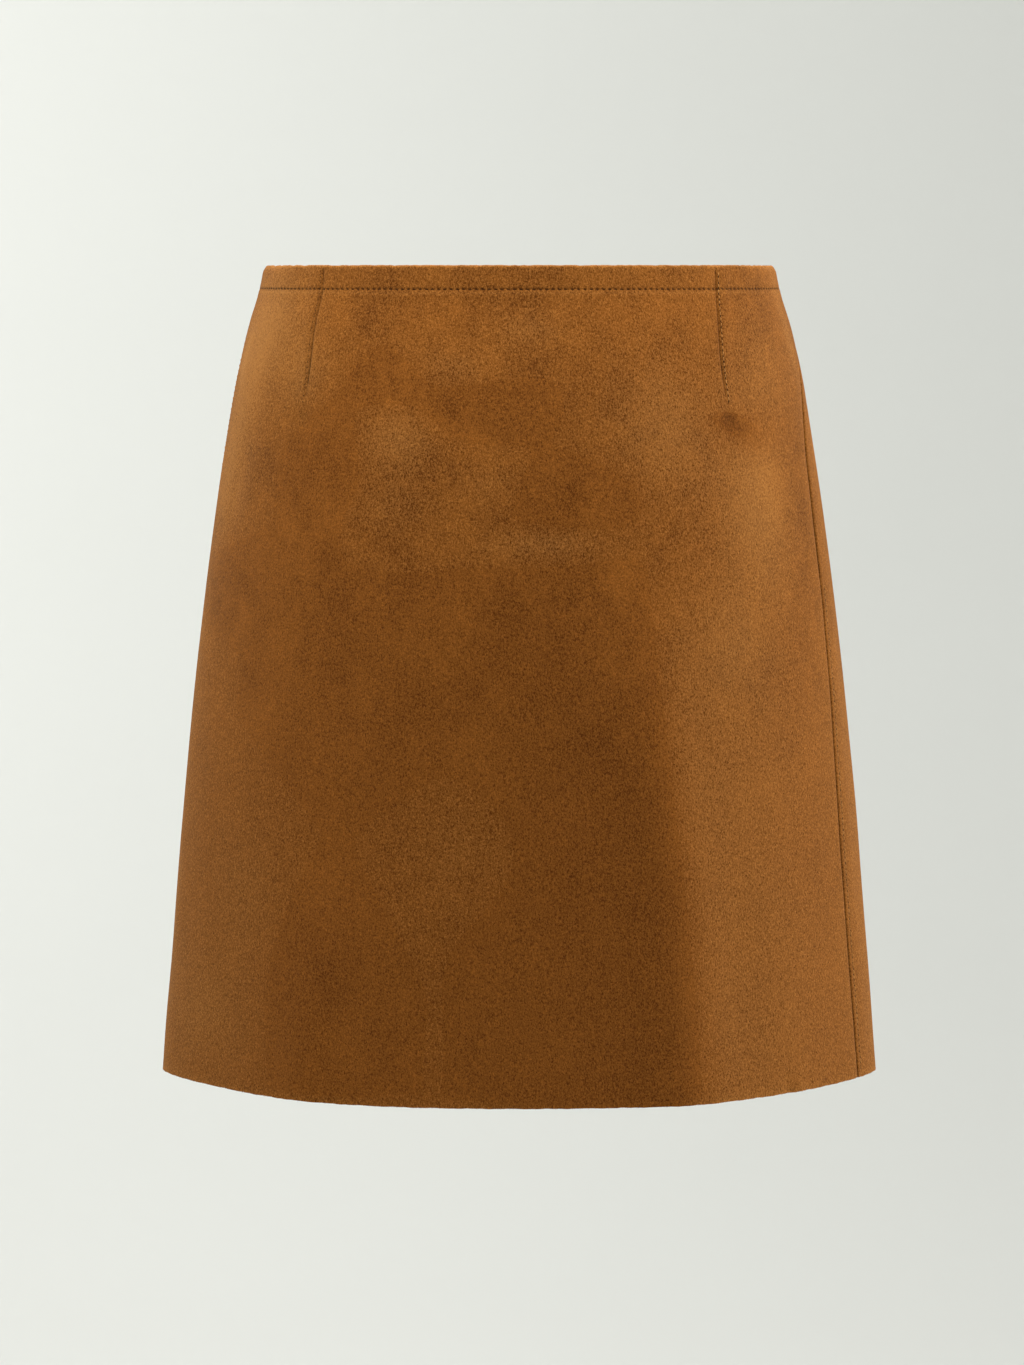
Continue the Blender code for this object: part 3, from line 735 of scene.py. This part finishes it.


# Marks of lighter (tone above 0) and darker (below 0) suede: partly its own brushed tone, partly
# painted sheen and shade where the light falls
NAP_COLUMNS = ("angle", "drop", "half_angle", "half_drop", "tone")
NAP_AND_LIGHT_MARKS = (
    (-66, 0.034, 15, 0.036, 0.44),
    (-74, 0.1, 10, 0.055, 0.38),
    (-70, 0.165, 12, 0.018, -0.32),
    (-48, 0.058, 7, 0.02, 0.2),
    (-40, 0.1, 7, 0.022, -0.28),
    (-24, 0.09, 8, 0.017, 0.24),
    (-13, 0.052, 8, 0.01, 0.14),
    (-9, 0.074, 9, 0.01, -0.22),
    (-26, 0.062, 7, 0.01, -0.16),
    (2, 0.033, 7, 0.009, 0.16),
    (-6, 0.112, 6, 0.012, 0.1),
    (4, 0.143, 11, 0.007, 0.2),
    (12, 0.118, 9, 0.012, -0.24),
    (-24, 0.124, 8, 0.014, 0.1),
    (28, 0.084, 10, 0.034, 0.24),
    (50, 0.12, 11, 0.055, 0.36),
    (60, 0.05, 10, 0.026, 0.14),
    # These three are painted shade in the dimple past the front right dart's tip
    (45.2, 0.0808, 1.7, 0.0034, -0.6),
    (47.4, 0.084, 3.2, 0.004, -0.34),
    (42.6, 0.08, 2.4, 0.003, -0.28),
    # These two are painted highlights on the rounded sides near the hips
    (77, 0.038, 4, 0.024, 0.24),
    (-78, 0.048, 3, 0.016, 0.26),
    (50, 0.088, 8, 0.012, -0.25),
    (40, 0.195, 9, 0.03, 0.16),
    (-28, 0.23, 12, 0.03, -0.16),
    (-6, 0.3, 11, 0.03, 0.1),
    (-34, 0.372, 7, 0.034, -0.3),
    (-52, 0.33, 10, 0.04, 0.12),
    (8, 0.395, 9, 0.024, 0.06),
    (-63, 0.395, 12, 0.034, 0.18),
    (132, 0.07, 16, 0.04, 0.4),
    (166, 0.11, 12, 0.028, -0.24),
    (187, 0.06, 12, 0.022, 0.26),
    (226, 0.12, 15, 0.05, 0.36),
    (205, 0.19, 12, 0.026, -0.22),
    (150, 0.25, 12, 0.05, 0.18),
    (240, 0.3, 14, 0.06, -0.16),
    (110, 0.16, 9, 0.05, 0.28),
)


def nap_and_light_marks(angle, drop):
    """Where the suede is drawn lighter (above 0) or darker (below 0): its own brushed tone, with
    painted sheen, highlights and shade.
    """
    total = 0.0
    for mark in rows_of(NAP_AND_LIGHT_MARKS, NAP_COLUMNS):
        total = total + mark["tone"] * bell(around(angle, mark["angle"]), mark["half_angle"]) \
            * bell(drop - mark["drop"], mark["half_drop"])

    # Painted light on the face of the front's large fold that turns towards the right, and painted
    # shade on the face beside it
    fold = around(angle, 23.0 + 4.5 * ramp(drop, 0.15, LENGTH))
    low = ramp(drop, 0.13, 0.27)
    soft = 4.0 + 5.0 * drop / LENGTH
    lit = ramp(fold / soft, -1, 1) * (1 - 0.6 * ramp(fold, 12, 40)) * (fold < 60)
    shaded = (1 - ramp(fold / soft, -1, 1)) * ramp(fold, -40, -4)
    total = total + low * (0.17 * lit - 0.26 * shaded)

    # Painted highlights along the rolled waist edge, just under the waist stitches and on the ridge
    # beside each side seam near the top. The waist band and the cut hem are a little lighter.
    total = total + 0.02 * (1 - ramp(drop, 0.0110, 0.0135)) + 0.16 * bell(drop - 0.0146, 0.0009)
    total = total + 0.24 * bell(drop, 0.0013) + 0.15 * bell(LENGTH - drop, 0.0022)
    for name, side, middle, reach in (("right_seam", -1, 0.040, 0.022), ("left_seam", 1, 0.035, 0.012)):
        x = from_line(name, angle, drop) * side
        total = total + 0.7 * bell(x - 0.0022, 0.0011) * bell(drop - middle, reach)
    return np.clip(total, -1.0, 0.95)


def panel(side):
    """One cut panel with its turned-in waist: a thin closed shell with a finer mesh at its stitches."""
    below = spaced(LENGTH, BAND, CELL)
    if len(below) % 2 == 0:
        below = np.linspace(LENGTH, BAND, len(below) + 1)
    drops, offsets = panel_rows(below, ROLL_RADIUS)
    back_drops, back_offsets = panel_rows(below, ROLL_RADIUS - SUEDE)
    rows, last_body = len(drops), len(below) - 1
    angles = station_columns(side, np.maximum(drops, 0.0))
    columns = angles.shape[1]

    # The waist's rows have three cells for each one below
    fine = np.linspace(0, columns - 1, 3 * (columns - 1) + 1)
    whole = fine.astype(int)
    after = np.minimum(whole + 1, columns - 1)
    share = fine - whole
    fine_angles = angles[:, whole] * (1 - share) + angles[:, after] * share

    turned = np.arange(rows)[:, None] >= rows - len(INNER_ROWS)

    def shape(angle_rows, drop_rows, offset_rows):
        """The points, the shade painted on them, and their drops. The turned edge is short at the zip.
        """
        from_zip = np.abs(from_line("right_seam", angle_rows, np.full(angle_rows.shape, 0.01)))
        kept = ramp(from_zip, CLEAR_OF_ZIP, CLEAR_OF_ZIP + 0.0015) * 0.96 + 0.04
        drop_rows = np.broadcast_to(drop_rows[:, None], angle_rows.shape)
        drop_rows = np.where(turned, ROLL_RADIUS + (drop_rows - ROLL_RADIUS) * kept, drop_rows)
        at_top = 1 - ramp(drop_rows, 0.001, 0.008)
        at_hem = ramp(drop_rows, LENGTH - 0.003, LENGTH)
        shifted = drop_rows + np.abs(ripples(angle_rows, WAIST_WAVES)) * at_top \
            + ripples(angle_rows, HEM_WAVES) * at_hem
        height, painted_shade = relief(angle_rows, np.clip(drop_rows, 0, LENGTH))
        flipped = relief(angle_rows, np.clip(drop_rows, 0, LENGTH), True)[0]
        height = np.where(turned, flipped, height) + offset_rows[:, None]
        flat = section_points(angle_rows, np.maximum(drop_rows, 0.0))
        flat[..., 2] = -shifted
        out = directions(angle_rows, np.maximum(drop_rows, 0.0))[2]
        return flat + out * height[..., None], painted_shade, drop_rows

    fine_points, fine_shade, fine_drops = shape(fine_angles, drops, offsets)
    body_points, body_shade, body_drops = (values[:last_body, ::3] for values in
                                            (fine_points, fine_shade, fine_drops))
    band = fine_points[last_body:].copy()
    for step in (1, 2):
        share = step / 3
        band[0, step::3] = band[0, :-1:3] * (1 - share) + band[0, 3::3] * share
    back_points = shape(angles, back_drops, back_offsets)[0]

    # Point numbers
    body_grid = numbered(body_points)
    band_grid = numbered(band, body_grid.size)
    kept_rows = [*range(0, last_body + 1, 2), *range(last_body + 3, rows - 1, 3), rows - 1]
    if kept_rows[-2] == rows - 1:
        kept_rows.pop()
    back = back_points[kept_rows][:, ::2]
    back_grid = numbered(back, body_grid.size + band_grid.size)

    faces = quads(body_grid[::-1])
    top = body_grid[-1]
    for c in range(columns - 1):
        faces.append([int(top[c]), int(top[c + 1]), *band_grid[0, 3 * c:3 * c + 4][::-1].tolist()])
    faces += quads(band_grid[::-1])
    kinds = [0] * len(faces)
    flesh = quads(back_grid)
    faces += flesh
    kinds += [1] * len(flesh)

    left = np.concatenate((body_grid[:, 0], band_grid[:, 0]))
    right = np.concatenate((body_grid[:, -1], band_grid[:, -1]))
    rim(faces, kinds, left, back_grid[:, 0], False, kept_rows)
    rim(faces, kinds, right, back_grid[:, -1], True, kept_rows)
    rim(faces, kinds, body_grid[0], back_grid[0], True, range(0, columns, 2))
    rim(faces, kinds, band_grid[-1], back_grid[-1], False, range(0, 3 * columns - 2, 6))

    points = np.concatenate([grid.reshape(-1, 3) for grid in (body_points, band, back)])
    nap_and_painted_light = np.concatenate((nap_and_light_marks(angles[:last_body], body_drops).ravel(),
                          nap_and_light_marks(fine_angles[last_body:], fine_drops[last_body:]).ravel(),
                          np.zeros(back_grid.size)))
    # Painted shade for each point: none on the inner face
    painted_shade = np.concatenate((body_shade.ravel(), fine_shade[last_body:].ravel(),
                             np.zeros(back_grid.size)))
    depth = -points[:, 2]
    return add_mesh(f"{side}_panel_suede", points, faces, (NAP, FLESH, CUT), kinds,
                    {"painted_shade": painted_shade, "nap_and_painted_light": nap_and_painted_light, "mottle": 1.1 - 0.75 * ramp(depth, 0.12, 0.30)})


def wall(name, materials, outer, inner):
    """A closed thin shell between two grids of points, whose rows run down. Its materials are those
    of the outer face, the inner face and the cut edges."""
    a = numbered(outer)
    b = numbered(inner, a.size)
    faces = quads(a) + quads(b[:, ::-1])
    kinds = [0] * (len(faces) // 2) + [1] * (len(faces) // 2)
    rim(faces, kinds, a[:, 0], b[:, 0], True)
    rim(faces, kinds, a[:, -1], b[:, -1], False)
    rim(faces, kinds, a[0], b[0], False)
    rim(faces, kinds, a[-1], b[-1], True)
    points = np.concatenate((outer.reshape(-1, 3), inner.reshape(-1, 3)))
    zeros = np.zeros(len(points))
    return add_mesh(name, points, faces, materials, kinds,
                    {"painted_shade": zeros, "nap_and_painted_light": zeros, "mottle": zeros + 0.6})


def strip(name, materials, top, bottom, line, near, far, offsets, lift, seed):
    """A layer inside, between two distances from a line. Its far edge stands off a little."""
    rng = np.random.default_rng(seed)
    drops = spaced(top, bottom, 0.0025)
    far_at = far(drops) if callable(far) else np.full(len(drops), far)
    far_at = far_at * (1 + 0.02 * soft_noise(rng, len(drops), 3))
    shares = np.linspace(0, 1, 9)
    distance = near + (far_at[:, None] - near) * shares
    angles = beside(line, distance, drops[:, None])
    raised = lift * (0.6 + 0.4 * soft_noise(rng, len(drops), 6))[:, None] * shares ** 2
    faces = [cloth(angles, np.broadcast_to(drops[:, None], angles.shape), offset - raised, True)
             for offset in offsets]
    if far_at.mean() < near:
        faces = [face[:, ::-1] for face in faces]
    return wall(name, materials, *faces)


def tube_rows(centres, across, up, radii, sides=6):
    """Rings of points along many short rods at once: centres is (rods, rings, 3)."""
    turns = np.arange(sides) * 2 * math.pi / sides
    wide, high = radii
    return centres[:, :, None] + (across[:, :, None] * (wide[..., None] * np.cos(turns))[..., None]
                                  + up[:, :, None] * (high[..., None] * np.sin(turns))[..., None])


def rods(name, rings, materials, tones, kinds=None):
    """Joined closed rods from rings of points (rods, rings, sides, 3)."""
    count, along, sides = rings.shape[:3]
    numbers = np.arange(count * along * sides).reshape(count, along, sides)
    wrapped = np.concatenate((numbers, numbers[:, :, :1]), 2)
    corners = (wrapped[:, :-1, :-1], wrapped[:, :-1, 1:], wrapped[:, 1:, 1:], wrapped[:, 1:, :-1])
    sides_faces = np.stack([corner.reshape(count, -1) for corner in corners], -1)
    faces, indices = [], []
    for k in range(count):
        own = sides_faces[k].tolist() + [numbers[k, 0, ::-1].tolist(), numbers[k, -1].tolist()]
        faces += own
        indices += [0 if kinds is None else int(kinds[k])] * len(own)
    tone = np.repeat(tones, along * sides)
    return add_mesh(name, rings, faces, materials, indices, {"tone": tone})


def stitches(name, angles, drops, pitch, thread, long, sunk, hole, seed, inside=None, lean=0.0):
    """A row of stitches along a line on the cloth, this long and this deep in it. hole is how long the
    near black ovals of painted shade at each needle hole are, how wide, and how many pitches they lie
    after each thread."""
    rng = np.random.default_rng(seed)
    route = section_points(angles, drops)
    lengths = np.concatenate(([0.0], np.cumsum(np.linalg.norm(np.diff(route, axis=0), axis=1))))
    last = lengths[-1] - pitch * (0.5 + hole[2])
    middles = np.arange(pitch * 0.5, last, pitch)
    middles = middles + rng.normal(size=len(middles)) * pitch * 0.03
    ends = np.linspace(-0.5, 0.5, 7)
    round_off = np.sqrt(np.clip(1 - (2 * ends) ** 4, 0.02, 1))
    hole_long, hole_wide, hole_after = hole
    offset, way = (0.0, 1.0) if inside is None else (inside, -1.0)

    def along_row(places, size):
        at = places[:, None] + ends * size * (1 + 0.08 * rng.normal(size=(len(places), 1)))
        a, d = np.interp(at, lengths, angles), np.interp(at, lengths, drops) + lean * ends * size
        points = cloth(a, d, offset, inside is not None)
        out = directions(a, d)[2] * way
        return points, out, unit(np.cross(unit(np.gradient(points, axis=1)), out))

    points, out, across = along_row(middles, long)
    jitter = rng.normal(size=(len(middles), 1)) * 0.00004
    lifted = -sunk + 0.75 * THREAD * np.cos(math.pi * ends) + jitter
    thick = THREAD * round_off * np.ones(points.shape[:2])
    threads = tube_rows(points + out * lifted[..., None], across, out, (thick, thick))
    # Flat near black ovals laid on the cloth: painted shade of the needle hole after each thread
    points, out, across = along_row(middles + hole_after * pitch, hole_long)
    wide, high = (size * round_off * np.ones(points.shape[:2]) for size in (hole_wide, 0.00006))
    hole_shades = tube_rows(points + out * 0.00001, across, out, (wide, high))
    tones = rng.uniform(0, 1, 2 * len(middles))
    made = rods(name, np.concatenate((threads, hole_shades)), (thread, HOLE_SHADE), tones,
                kinds=np.repeat((0, 1), len(middles)))
    return made


# ---------------------------------------------------------------- the pieces


front = panel("front")
back = panel("back")
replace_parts(front, "front_panel", "front_waist_turning")
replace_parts(back, "back_panel", "back_waist_turning")

# Seam allowances, the zip's turned edges and the darts' folded cloth
TUCK = 0.0001
BELOW_TURNING = TURNING_DEPTH + GAP
BELOW_ZIP = ZIP_LENGTH + SEAM_STARTS
inner = {}
for seam, side, top in (("left_seam", -1, BELOW_TURNING), ("right_seam", 1, BELOW_ZIP)):
    for part, offsets, width in (("back", LAYER_TWO, ALLOWANCE_WIDTH),
                                 ("front", LAYER_THREE, ALLOWANCE_WIDTH - 0.001)):
        name = f"{seam}_allowance_{part}"
        faces = (FLESH, NAP, CUT) if part == "back" else (NAP, FLESH, CUT)
        inner[name] = strip(f"{name}_suede", faces, top, LENGTH - GAP, seam, -side * TUCK, side * width,
                            offsets, lift=0.0004, seed=len(inner) + 20)
for part, side in (("front", -1), ("back", 1)):
    name = f"zip_allowance_{part}"
    inner[name] = strip(f"{name}_suede", (FLESH, NAP, CUT), ZIP_EDGE_TOP, BELOW_ZIP - GAP,
                        "right_seam", side * (GAP / 2 + PARTED), side * ALLOWANCE_WIDTH, LAYER_TWO,
                        lift=0.0002, seed=len(inner) + 20)
for name, length, side, _ in DARTS:

    def folded(drop):
        return side * dart_width((length - drop) / (length - BELOW_TURNING))

    inner[name] = strip(f"{name}_suede", (FLESH, FLESH, CUT), BELOW_TURNING, length, name, 0.0, folded,
                        LAYER_TWO, lift=0.0003, seed=len(inner) + 20)
for name, piece in inner.items():
    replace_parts(piece, name)

# Stitches. Those of the waist lie in their dips in the cloth, from one seam to the other.
left_at, right_at = (float(line_angle(name, STITCH_DROP)) for name in ("left_seam", "right_seam"))
for name, first, last, inside, seed in (
        ("front", left_at, right_at - 0.5, None, 2),
        ("back", right_at + 0.5, left_at + 360, None, 2),
        ("front_inside", left_at, right_at - 6, -2 * ROLL_RADIUS, 4),
        ("back_inside", right_at + 6, left_at + 360, -2 * ROLL_RADIUS, 5)):
    start, end = np.interp((first, last), ROW_ANGLES, ROW_LENGTHS)
    reach = np.linspace(math.ceil(start / WAIST_PITCH + 0.2) * WAIST_PITCH, end, 900)
    stitches(f"waist_stitches_{name}", np.interp(reach, ROW_LENGTHS, ROW_ANGLES),
             np.full(len(reach), STITCH_DROP), WAIST_PITCH, THREAD_WAIST_SHADED, long=0.0015, sunk=0.00008,
             hole=(0.0017, 0.00040, 0.0), seed=seed, inside=inside, lean=STITCH_LEAN)
for name, length, side, _ in DARTS:
    drops = np.linspace(0.0035, length - 0.0012, 200)
    angles = beside(name, side * STITCH_FROM_DART, drops)
    thread, sunk, hole = (THREAD_TOP, -0.00004, (0.0011, 0.00040, 0.5)) if side > 0 else \
        (THREAD_SOFT, 0.00008, (0.0009, 0.00026, 0.5))
    stitches(f"{name}_stitches", angles, drops, SEAM_PITCH, thread, long=SEAM_STITCH, sunk=sunk,
             hole=hole, seed=len(name))
for name, side, _ in SEAMS:
    top = 0.004 if name == "left_seam" else ZIP_LENGTH + 0.004
    drops = np.linspace(top, LENGTH - 0.001, 400)
    angles = beside(name, side * STITCH_FROM_SEAM, drops)
    stitches(f"{name}_stitches", angles, drops, SEAM_PITCH, THREAD_TOP, long=SEAM_STITCH,
             sunk=-0.00004, hole=(0.0011, 0.00042, 0.5), seed=31 + side)

# ---------------------------------------------------------------- the zip

# The small metal pieces keep their solids, with their edges rounded by a lacquer's thickness
for name in ("zip_slider", "zip_pull", "zip_bottom_stop"):
    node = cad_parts[name]
    node.data.materials.clear()
    node.data.materials.append(METAL)
    soften = node.modifiers.new("rounded edges", "BEVEL")
    soften.width = LACQUER
    soften.segments = 2
    soften.limit_method = "ANGLE"

tapes = {}
for part, side in (("front", -1), ("back", 1)):
    name = f"zip_tape_{part}"
    tapes[name] = strip(f"{name}_cloth", (WEAVE, WEAVE, WEAVE), TAPE_TOP, ZIP_LENGTH + TAPE_TAIL,
                        "right_seam", side * TAPE_TO_SEAM, side * TAPE_WIDTH, TAPE_LAYER,
                        lift=0.0001, seed=40 + side)
    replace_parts(tapes[name], name)


def coil_teeth():
    """The nylon loops of the closed coil, which reach across the seam from one side and the other."""
    top = SLIDER_DROP + SLIDER_HALF_LENGTH + GAP
    drops = np.arange(top + 0.0004, ZIP_LENGTH - STOP_LENGTH - GAP, LOOP_PITCH)
    side = np.where(np.arange(len(drops)) % 2 == 0, 1.0, -1.0)[:, None]
    reach = np.linspace(*LOOP_REACH, 6)
    middle = (COIL_LAYER[0] + COIL_LAYER[1]) / 2
    lean = 0.0001 * np.sin(np.linspace(0, math.pi, 6))
    angles = beside("right_seam", side * reach, drops[:, None])
    centres = cloth(angles, drops[:, None] + lean, middle, True)
    down, out = directions(angles, drops[:, None] + lean)[1:]
    size = np.array((0.7, 1.0, 1.0, 1.0, 0.95, 0.6)) * np.ones(angles.shape)
    rings = tube_rows(centres, down, out, (LOOP * size, 0.46 * COIL * size))
    return rods("zip_coil_teeth", rings, (NYLON,), np.full(len(drops), 0.5))


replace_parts(coil_teeth(), "zip_coil")


def hem_fibres(count):
    """Short fibres that stand off the cut edge."""
    rng = np.random.default_rng(61)
    angles = rng.uniform(-180, 180, count)
    level = LENGTH + rng.uniform(-0.0003, 0.0001, count)
    depth = rng.uniform(-1.0, 0.05, count) * SUEDE
    roots = section_points(angles, level) + directions(angles, level)[2] \
        * (relief(angles, np.clip(level, 0, LENGTH))[0] + depth)[:, None]
    length = rng.uniform(0.0002, 0.0007, count)[:, None]
    heading = unit(rng.normal(size=(count, 3)) * 0.7 + np.array((0, 0, -1.0)))
    bend = unit(rng.normal(size=(count, 3)))
    shares = np.linspace(0, 1, 4)[None, :, None]
    centres = roots[:, None] + heading[:, None] * length[:, None] * shares \
        + bend[:, None] * length[:, None] * 0.4 * shares ** 2
    across = unit(np.cross(heading, bend))[:, None] * np.ones((1, 4, 1))
    up = unit(np.cross(across, heading[:, None]))
    thin = FIBRE * np.array((1.0, 0.85, 0.6, 0.2)) * np.ones((count, 4))
    rings = tube_rows(centres, across, up, (thin, thin), 3)
    return rods("hem_fibres", rings, (CUT,), rng.uniform(0, 1, count))


hem_fibres(2600)

# ---------------------------------------------------------------- the length of each inner piece, worked out and not used

for name, piece in inner.items():
    if "dart" in name:
        length = (DART_LENGTH_FRONT if "front" in name else DART_LENGTH_BACK) - TURNING_DEPTH - GAP
    else:
        length = ZIP_LENGTH if "zip" in name else LENGTH - TURNING_DEPTH
        if "right_seam" in name:
            length = LENGTH - ZIP_LENGTH - SEAM_STARTS

# ---------------------------------------------------------------- floor, lights and camera


def backdrop():
    """A round pale floor that curves up into a wall, as a studio cove does."""
    floor_z, radius, curve, top = -1.5, 5.2, 2.8, 3.4
    turns = np.radians(np.linspace(0, 90, 13))
    profile = [(1.2, floor_z), (radius - curve, floor_z)]
    profile += [(radius - curve + curve * math.sin(t), floor_z + curve * (1 - math.cos(t)))
                for t in turns[1:]]
    profile.append((radius, top))
    around_it = np.radians(np.linspace(0, 360, 97))[:-1]
    points = np.array([[(r * math.cos(t), r * math.sin(t), z) for t in around_it] for r, z in profile])
    rings = numbered(points)
    faces = quads(np.concatenate((rings, rings[:, :1]), 1)[:, ::-1]) + [rings[0, ::-1].tolist()]
    mesh = bpy.data.meshes.new("studio_floor")
    mesh.from_pydata(points.reshape(-1, 3).tolist(), [], faces)
    mesh.shade_smooth()
    m = Material("studio_paper")
    tone = m.noise(1.5, 2.0, 0.5)
    colour = m.mix(tone, (0.71, 0.72, 0.695), (0.74, 0.75, 0.725))
    mesh.materials.append(m.finish(colour, None, 0.95, 0.1))
    linked("studio_floor", mesh)


SKIRT_MIDDLE = (0.0, 0.0, -0.2)
WALL_PATCH = (-0.1, 5.0, 0.1)  # the pale patch on the wall behind
LIGHT_COLUMNS = ("place", "aims_at", "size", "power", "colour")
LIGHTS = {
    "high_left": ((-0.66, -0.38, 1.43), SKIRT_MIDDLE, 0.8, 41.0, (1.0, 0.99, 0.97)),
    "high_right": ((0.66, -0.38, 1.43), SKIRT_MIDDLE, 0.8, 30.0, (1.0, 0.99, 0.97)),
    "side_right": ((2.58, 0.20, 0.03), SKIRT_MIDDLE, 1.1, 45.0, (1.0, 0.98, 0.95)),
    "back_left": ((-1.7, 2.0, 0.9), SKIRT_MIDDLE, 1.2, 24.0, (1.0, 0.98, 0.95)),
    "back_right": ((1.7, 2.2, 0.9), SKIRT_MIDDLE, 1.2, 14.0, (1.0, 0.98, 0.95)),
    "wall_left": ((-1.5, 2.9, 1.3), WALL_PATCH, 1.6, 52.0, (1.0, 1.0, 0.98)),
}


def add_lights():
    for name, light in zip(LIGHTS, rows_of(LIGHTS.values(), LIGHT_COLUMNS)):
        data = bpy.data.lights.new(name, "AREA")
        data.shape = "SQUARE"
        data.size = light["size"]
        data.energy = light["power"]
        data.color = light["colour"]
        lamp = linked(name, data)
        lamp.location = light["place"]
        aim = Vector(light["aims_at"]) - Vector(light["place"])
        lamp.rotation_mode = "QUATERNION"
        lamp.rotation_quaternion = aim.to_track_quat("-Z", "Y")
        lamp.visible_camera = False


def add_world():
    world = bpy.data.worlds.new("studio")
    world.use_nodes = True
    sky = world.node_tree.nodes["Background"]
    sky.inputs["Color"].default_value = (0.93, 0.95, 0.93, 1.0)
    sky.inputs["Strength"].default_value = 0.2
    bpy.context.scene.world = world


CAMERA_PLACE = (-0.004, -2.746, 0.0)
CAMERA_PITCH = 4.668  # degrees below the horizon


def add_camera():
    data = bpy.data.cameras.new("camera")
    data.lens = 135.0
    data.sensor_width = 36.0
    data.clip_start, data.clip_end = 0.05, 60.0
    camera = linked("camera", data)
    camera.location = CAMERA_PLACE
    camera.rotation_euler = (math.radians(90 - CAMERA_PITCH), 0, 0)
    bpy.context.scene.camera = camera


backdrop()
add_lights()
add_world()
add_camera()
bpy.context.scene.view_settings.view_transform = "Standard"
